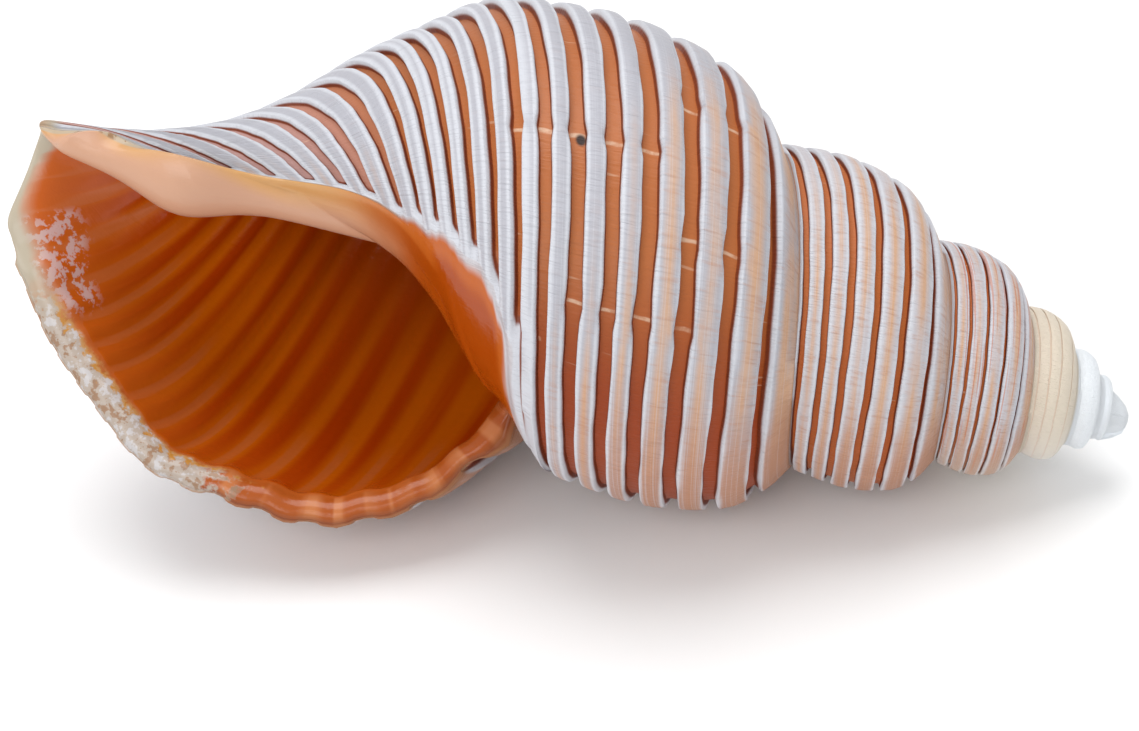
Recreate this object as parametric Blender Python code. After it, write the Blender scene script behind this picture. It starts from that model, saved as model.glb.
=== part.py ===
# A ribbed spiral sea shell with an open mouth and a short open canal.
# It grew as one piece, so it is one solid: a wall wound round a pillar on the shell's axis.
# In the shell's own axes Z runs from the tip of the spire to the end of the canal.
# Places along the spiral are counted in whorls back from the lip.
# Places across a whorl are 0 at its upper seam and 1 at the seam of the next whorl.

import functools
import math

import bmesh
import bpy
import numpy as np
from mathutils import Matrix, Vector

MM = 0.001

# Growth of the spiral, millimetres and whorls. Its law is counted from a point a little past
# the lip, which lies LIP_BACK whorls back.
SEAM_RADIUS = 17.6
SEAM_DEPTH = 48.0
RADIUS_SHRINK = 0.375
DEPTH_SHRINK = 0.534
DEPTH_SHRINK_GAIN = 0.013
WHORL_COUNT = 6.0
TIP_DEPTH = -0.7
TIP_RINGS = ((0.3, 0.55), (0.7, 0.92))
SPIRE_LEAN = (0.75, -0.5)
LEAN_UP_TO_DEPTH = 28.0

# Outline of the last whorl, (depth below the tip, distance from the axis) in millimetres
OUTLINE_TO_NEXT_SEAM = ((50.8, 21.3), (54.9, 24.3), (61.0, 26.0), (68.0, 26.8), (75.0, 26.4))
OUTLINE_PAST_SEAM = ((87.5, 21.2), (93.0, 16.8), (98.0, 11.3), (103.0, 7.1), (110.0, 3.8),
                     (118.0, 2.3), (130.0, 1.8), (146.0, 1.6))

# The base draws in where the lip's upper end meets it
BASE_SINK = 1.2
BASE_SINK_AT = 1.1
BASE_SINK_WHORLS = 0.12
BASE_SINK_FROM = 1.0
BASE_SINK_FULL = 1.2

# Ribs and the grooves between them. On older whorls each groove lies nearer the next seam, by
# the first share less the second times its place for every whorl, and fades out at the seam.
GROOVE_PLACES = (0.16, 0.33, 0.48, 0.62, 0.74, 0.855, 0.96, 1.06, 1.155, 1.245, 1.325,
                 1.405, 1.49, 1.59, 1.70, 1.80, 1.91, 2.04, 2.19, 2.34)
GROOVE_HALF_SHARE = 0.24
GROOVE_SHIFT_FROM = 0.84
GROOVE_SHIFT = (0.24, 0.13)
GROOVE_SHIFT_END = 1.2
GROOVE_SHIFT_FADE = 0.25
SEAM_CLEARANCE = 0.015
GROOVE_DEPTH = 1.0
NECK_GROOVE_DEPTH = 0.45
SMOOTH_FROM_WHORL = 3.0
SMOOTH_ROWS = 5
SMOOTH_INSET = 0.3

# Mouth: lip edge, callus edge and canal, as (place across the whorl, whorls back). Between
# the warp's two places the steps of the surface turn from even ones to ones that end at the callus.
LIP_BACK = 0.085
LIP_EDGE = ((0.0, 0.085), (0.3, 0.087), (0.6, 0.088), (1.1, 0.091), (1.54, 0.12), (3.0, 0.2))
CALLUS_EDGE = ((1.3, 0.885), (1.57, 0.845), (1.8, 0.80), (2.1, 0.78), (2.45, 0.77))
CALLUS_STEP = 24
WARP_FROM = 1.0
WARP_FULL = 1.6
CANAL_END_DEPTH = 94.9
NECK_END_PLACE = 2.45
LIP_FADE = 0.35
LIP_KNOB_PLACE = 0.05
LIP_FLARE = ((0.0, 0.5), (0.05, 1.5), (0.1, 1.0), (0.16, 0.1), (0.3, 0.4), (0.9, 0.4),
             (1.25, 1.0), (1.6, 1.7), (1.9, 0.8), (2.2, 0.0))
LIP_FLARE_WHORLS = 0.18
LIP_GROOVE_SHARE = 0.15
LIP_GROOVE_WHORLS = 0.06
SEAM_DROP_ROWS = 9
SEAM_LOW_STEPS = 1
SEAM_BLEND = 0.66
SHOULDER_SINK = 0.6
SHOULDER_SINK_WHORLS = 0.45

# Hollow
WALL = 1.7
LIP_WALL = 2.1
GLAZE_SINK = 0.5
PILLAR_RADIUS = 2.1
PILLAR_TIP_RADIUS = 1.3
PILLAR_TAPER_FROM = 84.0
PILLAR_SWELL = 1.8
PILLAR_SWELL_DEPTH = 81.0
PILLAR_SWELL_WIDTH = 4.5
HOLLOW_WHORLS = 1.7
FLAT_RINGS_FROM = 0.6
MOUTH_RINGS = 8
DEEP_RINGS = 12
RING_POINTS = 48
TIP_ARC_DEPTH = 93.4
CALLUS_FROM_Q = 0.45
CALLUS_STEP_SHARE = 0.2

# Mesh fineness
STEPS_PER_WHORL = 30

# How the shell lies, degrees about its own long axis and about the level cross axis
REST_ROLL = 106.8
REST_PITCH = 16.5

SHELL_COLOUR = (0.74, 0.60, 0.52, 1.0)
SHELL_ROUGHNESS = 0.45


def smooth(knots, values, x):
    """Smooth curve through a few points, held level past its ends."""
    knots = np.asarray(knots, float)
    values = np.asarray(values, float)
    slopes = np.gradient(values, knots)
    i = np.clip(np.searchsorted(knots, x) - 1, 0, len(knots) - 2)
    step = knots[i + 1] - knots[i]
    s = np.clip((x - knots[i]) / step, 0.0, 1.0)
    start = (1 + 2 * s) * (1 - s) ** 2 * values[i] + s * (1 - s) ** 2 * step * slopes[i]
    end = s * s * (3 - 2 * s) * values[i + 1] - s * s * (1 - s) * step * slopes[i + 1]
    return start + end


def outline_knots():
    """Outline points with their places across the whorl."""
    next_seam = (SEAM_DEPTH * math.exp(DEPTH_SHRINK - DEPTH_SHRINK_GAIN),
                 SEAM_RADIUS * math.exp(RADIUS_SHRINK))
    points = np.array(((SEAM_DEPTH, SEAM_RADIUS),) + OUTLINE_TO_NEXT_SEAM + (next_seam,)
                      + OUTLINE_PAST_SEAM)
    run = np.concatenate(([0.0], np.cumsum(np.hypot(*np.diff(points, axis=0).T))))
    return run / run[len(OUTLINE_TO_NEXT_SEAM) + 1], points[:, 0], points[:, 1]


PLACES, DEPTHS, RADII = outline_knots()


def ease(x):
    """Smooth step from 0 to 1."""
    s = np.clip(x, 0.0, 1.0)
    return s * s * (3 - 2 * s)


def shrink(u, t):
    """Radius and depth scale of a place t across the whorl, u whorls back."""
    radius = np.exp(-RADIUS_SHRINK * u)
    depth = np.exp(-DEPTH_SHRINK * u - DEPTH_SHRINK_GAIN * u * (u - 2 * np.minimum(t, 1.0)))
    return radius, depth


def regular_point(u, t):
    """Radius and depth of the surface by the law of growth alone."""
    radius_scale, depth_scale = shrink(u, t)
    near = math.exp(-((u - BASE_SINK_AT) / BASE_SINK_WHORLS) ** 2)
    sink = BASE_SINK * near * ease((t - BASE_SINK_FROM) / (BASE_SINK_FULL - BASE_SINK_FROM))
    return np.array((smooth(PLACES, RADII, t) * radius_scale - sink,
                     smooth(PLACES, DEPTHS, t) * depth_scale))


def drop_row(step):
    """Row of the older whorl that the seam of the newest whorl runs along."""
    return SEAM_ROW + max(SEAM_DROP_ROWS - max(step - SEAM_LOW_STEPS, 0), 0)


def drop_place(u):
    """Place on the older whorl where the seam of the newest whorl runs."""
    steps = np.arange(STEPS_PER_WHORL)
    places = [ROWS[drop_row(step)][0] for step in steps]
    return np.interp((u - LIP_BACK) * STEPS_PER_WHORL, steps, places)


def shaped_point(u, t):
    """Radius and depth with the newest seam drawn down and its shoulder narrowed."""
    point = regular_point(u, t)
    if u >= 1.0:
        return point
    shift = regular_point(1 + u, drop_place(u)) - regular_point(u, 0.0)
    fade = np.clip(1 - t / SEAM_BLEND, 0.0, 1.0) ** 1.5
    narrow = max(1 - u / SHOULDER_SINK_WHORLS, 0.0) * SHOULDER_SINK
    bump = np.sin(math.pi * np.clip(t / SEAM_BLEND, 0.0, 1.0)) ** 2
    return point + np.array((shift[0] * fade - narrow * bump, shift[1] * fade))


def outline_point(u, t, inward=0.0):
    """Radius and depth of the surface, set in by a distance square to the outline."""
    ahead = 0.01
    radius, depth = shaped_point(u, t)
    radius_run, depth_run = shaped_point(u, t + ahead) - np.array((radius, depth))
    run = np.hypot(radius_run, depth_run) + 1e-9
    return radius - inward * depth_run / run, depth + inward * radius_run / run


def turn(radius, depth, u):
    """Point in the shell's axes at an angle of u whorls back from the lip."""
    angle = -2 * math.pi * u
    lean = max(1 - depth / LEAN_UP_TO_DEPTH, 0.0) ** 2
    return np.array((radius * math.cos(angle) + SPIRE_LEAN[0] * lean,
                     radius * math.sin(angle) + SPIRE_LEAN[1] * lean, depth))


def rows():
    """Places across the last whorl, each with its share of the groove depth."""
    marks = [(0.0, 0.0), (LIP_KNOB_PLACE, 0.0)]
    for k, place in enumerate(GROOVE_PLACES):
        before = GROOVE_PLACES[k - 1] if k else 0.0
        half = GROOVE_HALF_SHARE * min(place - before, 0.16)
        if before < 1.0 < place:
            marks.append((1.0, 0.0))
        marks += [(place - half, 0.0), (place, 1.0), (place + half, 0.0)]
    return marks + [(NECK_END_PLACE, 0.0)]


ROWS = rows()
SEAM_ROW = [place for place, _ in ROWS].index(1.0)
CORNER_ROW = SEAM_ROW + SEAM_DROP_ROWS


def row_place(row, u):
    """Place of a row across its whorl: on older whorls the grooves lie nearer the next seam."""
    place = ROWS[row][0]
    if row == SEAM_ROW:
        return place
    fade = min(max((GROOVE_SHIFT_END - place) / GROOVE_SHIFT_FADE, 0.0), 1.0)
    share = (GROOVE_SHIFT[0] - GROOVE_SHIFT[1] * place) * fade
    return place * (1 + share * max(u - GROOVE_SHIFT_FROM, 0.0))


def lip_at(t):
    """Whorls back of the lip or of the canal's cut end."""
    lip = smooth(*zip(*LIP_EDGE), t)
    over = max(math.log(smooth(PLACES, DEPTHS, t) / CANAL_END_DEPTH), 0.0)
    fall = DEPTH_SHRINK - 2 * DEPTH_SHRINK_GAIN
    canal = (math.sqrt(fall ** 2 + 4 * DEPTH_SHRINK_GAIN * over) - fall) / (2 * DEPTH_SHRINK_GAIN)
    return max(lip, canal)


def callus_at(t):
    """Whorls back of the outer edge of the callus."""
    return smooth(*zip(*CALLUS_EDGE), t)


def whorls_back(step, t):
    """Whorls back of one step of the outer surface, warped to the edges of the mouth."""
    along = step / STEPS_PER_WHORL
    if step > CALLUS_STEP:
        return LIP_BACK + along
    lip = lip_at(t)
    straight = LIP_BACK + along + (lip - LIP_BACK) * max(1.0 - along / LIP_FADE, 0.0) ** 2
    warped = lip + (callus_at(t) - lip) * step / CALLUS_STEP
    return straight + (warped - straight) * ease((t - WARP_FROM) / (WARP_FULL - WARP_FROM))


def ribbed_share(u):
    """How far the ribs are grown, from none on the first whorls."""
    return min(max(SMOOTH_FROM_WHORL - u, 0.0) / 0.6, 1.0)


def groove_depth(u, t):
    """Depth of the grooves, which fade on the neck, at the lip and on the first whorls."""
    neck = min(max((t - 1.2) / 0.9, 0.0), 1.0)
    back = min(max(u - lip_at(t), 0.0) / LIP_GROOVE_WHORLS, 1.0)
    lip = LIP_GROOVE_SHARE + (1 - LIP_GROOVE_SHARE) * back
    depth = GROOVE_DEPTH + (NECK_GROOVE_DEPTH - GROOVE_DEPTH) * neck
    return depth * ribbed_share(u) * lip * math.exp(-RADIUS_SHRINK * u)


def outer_point(u, t, sunk):
    """Point of the outer surface."""
    back = max(u - lip_at(t), 0.0)
    flare = smooth(*zip(*LIP_FLARE), t) * max(1.0 - back / LIP_FLARE_WHORLS, 0.0) ** 1.5
    inset = SMOOTH_INSET * (1 - ribbed_share(u))
    radius, depth = outline_point(u, t, sunk * groove_depth(u, t) + inset - flare)
    return turn(radius, depth, u)


def surface_vertex(step, row):
    """Vertex of the outer surface, whose grooves end at the callus and at the older seams."""
    t = row_place(row, LIP_BACK + step / STEPS_PER_WHORL)
    sunk = ROWS[row][1]
    if step > STEPS_PER_WHORL and row == top_row(step) < SEAM_ROW:
        t = 1.0
        sunk = 0.0
    at_callus = row >= top_row(step) if step != CALLUS_STEP else row > top_row(step + 1)
    if CALLUS_STEP <= step < STEPS_PER_WHORL and at_callus:
        sunk = 0.0
    return outer_point(whorls_back(step, t), t, sunk)


def top_row(step):
    """Last row of the outer surface at one step, from the canal down to the newest seam."""
    if step <= CALLUS_STEP:
        return len(ROWS) - 1
    if step < STEPS_PER_WHORL:
        return CORNER_ROW + STEPS_PER_WHORL - step
    row = drop_row(step - STEPS_PER_WHORL)
    u = LIP_BACK + step / STEPS_PER_WHORL
    while row <= SEAM_ROW and row_place(row - 1, u) > 1.0 - SEAM_CLEARANCE:
        row -= 1
    return row


def extrude_chain(bm, chain, points, closed=False):
    """Extrude a chain of vertices once and place the new chain."""
    ends = chain[1:] + chain[:1] if closed else chain[1:]
    edges = [bm.edges.get((a, b)) for a, b in zip(chain, ends)]
    geometry = bmesh.ops.extrude_edge_only(bm, edges=edges)["geom"]
    fresh = {item for item in geometry if isinstance(item, bmesh.types.BMVert)}
    new_chain = []
    for vertex in chain:
        new = next(e.other_vert(vertex) for e in vertex.link_edges if e.other_vert(vertex) in fresh)
        new_chain.append(new)
    for vertex, point in zip(new_chain, points):
        vertex.co = Vector(point)
    return new_chain


def stitch(bm, chain_a, places_a, chain_b, places_b):
    """Loft between two chains with unlike numbers of vertices."""
    i = j = 0
    while i < len(chain_a) - 1 or j < len(chain_b) - 1:
        step_a = places_a[i + 1] if i < len(chain_a) - 1 else math.inf
        step_b = places_b[j + 1] if j < len(chain_b) - 1 else math.inf
        if step_a <= step_b:
            bm.faces.new((chain_a[i], chain_a[i + 1], chain_b[j]))
            i += 1
        else:
            bm.faces.new((chain_a[i], chain_b[j + 1], chain_b[j]))
            j += 1


def start_chain(bm, points):
    """Chain of vertices joined by edges."""
    chain = [bm.verts.new(point) for point in points]
    for a, b in zip(chain, chain[1:]):
        bm.edges.new((a, b))
    return chain


def wind_outer_surface(bm):
    """Sweep the outline back along the spiral, and return the mouth's loop of vertices."""
    chain = start_chain(bm, [surface_vertex(0, row) for row in range(len(ROWS))])
    loop = list(chain)
    upper = [chain[0]]
    welds = {}
    smooth_step = int(SMOOTH_FROM_WHORL * STEPS_PER_WHORL)
    last_step = int(WHORL_COUNT * STEPS_PER_WHORL)
    few = [k / (SMOOTH_ROWS - 1) for k in range(SMOOTH_ROWS)]
    for step in range(1, last_step + 1):
        u = LIP_BACK + step / STEPS_PER_WHORL
        if step == smooth_step:
            row_places = [row_place(row, u) for row in range(len(chain) - 1)] + [1.0]
            new_chain = start_chain(bm, [outer_point(u, t, 0.0) for t in few])
            stitch(bm, chain, row_places, new_chain, few)
            chain = new_chain
        elif step > smooth_step:
            chain = extrude_chain(bm, chain, [outer_point(u, t, 0.0) for t in few])
        else:
            top = top_row(step)
            places = [surface_vertex(step, min(row, top)) for row in range(len(chain))]
            chain = extrude_chain(bm, chain, places)
            if len(chain) - 1 > top:
                bmesh.ops.pointmerge(bm, verts=chain[top:], merge_co=chain[top].co)
                chain = [vertex for vertex in chain if vertex.is_valid]
        upper.append(chain[0])
        if step < STEPS_PER_WHORL:
            loop.append(chain[-1])
        else:
            welds[chain[-1]] = upper[step - STEPS_PER_WHORL]
        if step == CALLUS_STEP:
            first = top_row(step + 1) + 1
            loop += chain[-2:first - 1:-1]
            chain = chain[:first + 1]

    hole = upper[last_step - STEPS_PER_WHORL:] + chain[1:-1]
    bmesh.ops.weld_verts(bm, targetmap=welds)
    close_tip(bm, hole)
    return loop


def close_tip(bm, hole):
    """Round off the first whorl."""
    centre = Vector(turn(0.0, TIP_DEPTH, 0.0))
    ring = [vertex for vertex in hole if vertex.is_valid]
    start = [vertex.co.copy() for vertex in ring]
    for share, rise in TIP_RINGS:
        points = []
        for place in start:
            point = place.lerp(centre, share)
            point.z = place.z + (centre.z - place.z) * rise
            points.append(point)
        ring = extrude_chain(bm, ring, points, closed=True)
    cap = bmesh.ops.contextual_create(bm, geom=ring)["faces"]
    poked = bmesh.ops.poke(bm, faces=cap)
    poked["verts"][0].co = centre


def pillar_side_radius(u, depth):
    """Radius of the glazed pillar and of the older whorl inside the mouth."""
    scale, depth_scale = shrink(u, 1.0)
    t = np.interp(depth / depth_scale, DEPTHS, PLACES)
    tip = np.clip((depth - PILLAR_TAPER_FROM) / (CANAL_END_DEPTH - PILLAR_TAPER_FROM), 0.0, 1.0)
    pillar = PILLAR_RADIUS + (PILLAR_TIP_RADIUS - PILLAR_RADIUS) * tip
    swell = PILLAR_SWELL * np.exp(-((depth - PILLAR_SWELL_DEPTH) / PILLAR_SWELL_WIDTH) ** 2)
    return np.maximum(smooth(PLACES, RADII, t) * scale - GLAZE_SINK, pillar + swell)


def wall_thickness(d):
    """Wall, a little thicker at the lip."""
    return WALL + (LIP_WALL - WALL) * max(1.0 - max(d, 0.0) / 0.3, 0.0)


@functools.lru_cache(maxsize=None)
def section(d):
    """Limits of the hollow's section: first and last place on the wall, and their depths."""
    t = np.linspace(0.0, PLACES[-1] - 0.02, 400)
    radius, depth = outline_point(d, t, wall_thickness(d))
    inside = radius > pillar_side_radius(1 + d, depth)
    first = int(np.argmax(inside))
    last = first + int(np.argmin(inside[first:]))
    return t[first], t[last], depth[first], depth[last]


def hollow_point(d, q):
    """Point of the hollow's surface: q from -1 to 0 on the wall, from 0 to 1 on the pillar."""
    first_t, last_t, first_depth, last_depth = section(d)
    if q <= 0.0:
        t = first_t + (q + 1) * (last_t - first_t)
        radius, depth = outline_point(d, t, wall_thickness(d))
        return turn(radius, depth, d)
    depth = last_depth + q * (first_depth - last_depth)
    return turn(pillar_side_radius(1 + d, depth), depth, d)


def mouth_edge_places():
    """Where each vertex of the mouth's loop enters the hollow, as (d, q)."""
    places = []
    row_count = len(ROWS)
    lip_places = [lip_at(place) for place, _ in ROWS]
    crease = next(k for k in range(row_count)
                  if ROWS[k][0] >= section(lip_places[k])[1] - 0.03)
    for k in range(crease):
        first_t, last_t, _, _ = section(lip_places[k])
        q = (ROWS[k][0] - first_t) / (last_t - first_t) - 1
        places.append((lip_places[k] + 0.006, min(max(q, -1.0), 0.0)))
    crease_d = lip_places[crease]
    callus_d = callus_at(NECK_END_PLACE) - 1 + 0.04
    arc = row_count - crease + CALLUS_STEP - 1
    callus_depth = outline_point(callus_d + 1, NECK_END_PLACE)[1]
    for k in range(arc):
        share = k / arc
        d = crease_d + share * (callus_d - crease_d)
        depth = TIP_ARC_DEPTH + max(share - 0.75, 0.0) / 0.25 * (callus_depth - TIP_ARC_DEPTH)
        _, _, first_depth, last_depth = section(d)
        places.append((d, (last_depth - depth) / (last_depth - first_depth)))
    first = top_row(CALLUS_STEP + 1) + 1
    edge = [(whorls_back(CALLUS_STEP, ROWS[k][0]), ROWS[k][0])
            for k in range(row_count - 1, first - 1, -1)]
    edge += [(LIP_BACK + step / STEPS_PER_WHORL, ROWS[top_row(step)][0])
             for step in range(CALLUS_STEP + 1, STEPS_PER_WHORL)]
    for u, t in edge:
        d = u - 1 + 0.04
        _, _, first_depth, last_depth = section(d)
        depth = outline_point(u, t)[1]
        places.append((d, min((last_depth - depth) / (last_depth - first_depth), 1.0)))
    return places


def line_hollow(bm, loop):
    """Line the mouth and the hollow behind it, ring by ring, and close its end."""
    edge = mouth_edge_places()
    inner = [hollow_point(d, q) for d, q in edge]
    outer = [np.array(vertex.co) for vertex in loop]
    rim = []
    for a, b, (d, q) in zip(outer, inner, edge):
        share = CALLUS_STEP_SHARE if q > CALLUS_FROM_Q else 0.5
        rim.append(a + share * (b - a) + rim_bulge(a, b, d, q))
    loop = extrude_chain(bm, loop, rim, closed=True)

    count = len(edge)
    loop_places = [k / count for k in range(count)]
    ring_places = [k / RING_POINTS for k in range(RING_POINTS)]
    edge_d = np.array([d for d, _ in edge] + [edge[0][0]])
    edge_q = np.array([q for _, q in edge] + [1.0])
    closed_places = loop_places + [1.0]
    start_d = np.interp(ring_places, closed_places, edge_d)
    start_q = np.interp(ring_places, closed_places, edge_q)
    end_q = np.linspace(-1.0, 1.0, RING_POINTS + 1)[:-1]

    ring = start_ring(bm, [hollow_point(d, q) for d, q in zip(start_d, start_q)])
    stitch(bm, loop + loop[:1], closed_places, ring + ring[:1], ring_places + [1.0])
    for k in range(1, MOUTH_RINGS + 1):
        share = k / MOUTH_RINGS
        ds = start_d + share * (FLAT_RINGS_FROM - start_d)
        qs = start_q + share * (end_q - start_q)
        ring = extrude_chain(bm, ring, [hollow_point(d, q) for d, q in zip(ds, qs)], closed=True)
    for k in range(1, DEEP_RINGS + 1):
        d = FLAT_RINGS_FROM + (HOLLOW_WHORLS - FLAT_RINGS_FROM) * k / DEEP_RINGS
        ring = extrude_chain(bm, ring, [hollow_point(d, q) for q in end_q], closed=True)
    end = bmesh.ops.contextual_create(bm, geom=ring)["faces"]
    bmesh.ops.poke(bm, faces=end)


def start_ring(bm, points):
    """Closed chain of vertices."""
    ring = start_chain(bm, points)
    bm.edges.new((ring[-1], ring[0]))
    return ring


def rim_bulge(outer, inner, d, q):
    """How far the rounded rim stands past the middle of the wall."""
    half = np.linalg.norm(inner - outer) / 2
    angle = -2 * math.pi * d
    ahead = np.array((-math.sin(angle), math.cos(angle), 0.0))
    down = np.array((0.0, 0.0, 1.0))
    if outer[2] > CANAL_END_DEPTH - 1.0 and q < CALLUS_FROM_Q:
        return down * min(half, 1.0) * 0.7
    if q < 0.0:
        return ahead * half * 0.7
    return np.array((outer[0], outer[1], 0.0)) / math.hypot(outer[0], outer[1]) * 0.25


def rest_matrix():
    """Turn the shell so that its tip points along +X and it lies as it rests."""
    along = Matrix.Rotation(math.radians(-90.0), 4, "Y")
    roll = Matrix.Rotation(math.radians(REST_ROLL), 4, "X")
    pitch = Matrix.Rotation(math.radians(REST_PITCH), 4, "Y")
    return pitch @ roll @ along


def place_on_ground(mesh):
    """Move the mesh so that the middle of its underside is the origin."""
    points = np.array([vertex.co for vertex in mesh.vertices])
    low, high = points.min(axis=0), points.max(axis=0)
    middle = (low + high) / 2
    mesh.transform(Matrix.Translation((-middle[0], -middle[1], -low[2])))


def shell_material():
    """Pale pinkish shell lime."""
    material = bpy.data.materials.new("shell_lime")
    material.use_nodes = True
    shader = material.node_tree.nodes["Principled BSDF"]
    shader.inputs["Base Color"].default_value = SHELL_COLOUR
    shader.inputs["Roughness"].default_value = SHELL_ROUGHNESS
    shader.inputs["Metallic"].default_value = 0.0
    return material


def make_shell(collection):
    """The whole shell as one closed mesh."""
    bm = bmesh.new()
    loop = wind_outer_surface(bm)
    line_hollow(bm, loop)
    bmesh.ops.triangulate(bm, faces=bm.faces[:])
    bmesh.ops.recalc_face_normals(bm, faces=bm.faces[:])
    mesh = bpy.data.meshes.new("shell")
    bm.to_mesh(mesh)
    bm.free()
    mesh.transform(rest_matrix() @ Matrix.Scale(MM, 4))
    place_on_ground(mesh)
    mesh.shade_smooth()
    mesh.set_sharp_from_angle(angle=math.radians(40.0))
    mesh.materials.append(shell_material())
    shell = bpy.data.objects.new("shell", mesh)
    collection.objects.link(shell)


def main():
    for item in list(bpy.data.objects):
        bpy.data.objects.remove(item)
    collection = bpy.data.collections.new("conch_shell")
    bpy.context.scene.collection.children.link(collection)
    make_shell(collection)


main()
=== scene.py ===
import math

import bmesh
import bpy
import numpy as np
from mathutils import Matrix, Vector


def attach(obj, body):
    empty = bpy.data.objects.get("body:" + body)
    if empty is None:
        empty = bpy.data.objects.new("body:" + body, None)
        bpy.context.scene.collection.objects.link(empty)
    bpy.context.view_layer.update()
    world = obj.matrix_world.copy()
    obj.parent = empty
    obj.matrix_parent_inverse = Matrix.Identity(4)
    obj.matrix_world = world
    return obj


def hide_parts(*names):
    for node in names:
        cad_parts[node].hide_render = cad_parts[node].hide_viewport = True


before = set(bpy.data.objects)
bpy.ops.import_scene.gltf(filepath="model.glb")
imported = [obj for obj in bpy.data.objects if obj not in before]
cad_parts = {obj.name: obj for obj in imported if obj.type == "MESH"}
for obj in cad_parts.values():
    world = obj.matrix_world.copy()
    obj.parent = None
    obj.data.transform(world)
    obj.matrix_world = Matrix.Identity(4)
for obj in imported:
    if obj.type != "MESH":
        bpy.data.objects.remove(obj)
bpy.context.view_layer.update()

mm = 0.001

# The shell is wound in its own axes, in millimetres: Z runs from the spire's tip to the canal.
# Back is the place along the spiral, in whorls from the lip. Across is the place over a whorl,
# 0 at its upper seam and 1 at the next seam, and more on the base and the neck.

growth = {
    "seamRadius": 17.6,
    "seamDepth": 48.0,
    "radiusShrink": 0.375,
    "depthShrink": 0.534,
    "depthShrinkGain": 0.013,
    "whorls": 6.0,
    "tipDepth": -0.7,
    "tipRings": ((0.2, 0.42), (0.45, 0.72), (0.72, 0.86)),  # share in to the axis, share up to the tip
    "lean": (0.75, -0.5),
    "leanUpTo": 28.0,
    "toNextSeam": ((50.8, 21.3), (54.9, 24.3), (61.0, 26.0), (68.0, 26.8), (75.0, 26.4)),
    "pastSeam": ((87.5, 21.2), (93.0, 16.8), (98.0, 11.3), (103.0, 7.1), (110.0, 3.8),
                 (118.0, 2.3), (130.0, 1.8), (146.0, 1.6)),
}

seam = {  # how the newest whorl's seam is drawn down over the older whorl
    "drop": ((0.0, 1.266), (0.1, 1.262), (0.2, 1.18), (0.3, 1.085), (0.4, 1.0), (0.5, 1.0)),
    "blend": 0.66,
    "shoulderSink": 0.6,
    "shoulderWhorls": 0.45,
    "baseSink": 1.2,  # the base draws in where the lip's upper end meets it
    "baseSinkAt": 1.1,
    "baseSinkWhorls": 0.12,
    "baseSinkFrom": 1.0,
    "baseSinkFull": 1.2,
}

ribs = {
    "grooves": (0.16, 0.33, 0.48, 0.62, 0.74, 0.855, 0.96, 1.06, 1.155, 1.245, 1.325, 1.405,
                1.49, 1.59, 1.70, 1.80, 1.91, 2.04, 2.19, 2.34),
    "profile": ((-1.3, -0.02), (-1.06, 0.06), (-0.93, 0.5), (-0.8, 0.94), (0.0, 1.0),
                (0.8, 0.94), (0.93, 0.5), (1.06, 0.06), (1.3, -0.02)),
    "crown": -0.05,
    "shiftFrom": 0.84,  # on older whorls the grooves lie nearer the next seam
    "shift": (0.24, 0.13),
    "shiftEnd": 1.2,
    "shiftFade": 0.25,
    "widestPitch": 0.16,
    "crestReach": 0.06,  # a rib's middle is this far from its grooves, across
    "depth": 1.3,
    "neckDepth": 0.5,
    "width": 0.43,  # share of the rib pitch that is groove, beside the mouth
    "widthAt": 0.84,
    "widthPerWhorl": 0.11,
    "widthLimits": (0.15, 0.46),
    "widthAcross": ((0.3, 0.86), (0.7, 1.0), (1.3, 1.0), (1.4, 0.85)),
    "smoothFrom": 4.2,  # the oldest whorls are smooth
    "smoothOver": 1.2,
    "smoothInset": 0.3,
    "waver": 0.09,
    "drift": 0.03,
    "notch": 0.3,  # the grooves widen where growth stopped
    "notchWhorls": 0.006,
}

# Where growth stopped for a while, as (back, first and last place across): pale lines in the grooves
growthStops = ((0.762, 0.58, 1.08), (0.872, 0.44, 0.9), (0.814, 0.24, 0.56), (0.905, 0.98, 1.12),
               (0.716, 0.28, 0.5), (0.56, 0.1, 0.8), (0.33, 0.3, 1.2), (0.18, 0.1, 0.7))

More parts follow.
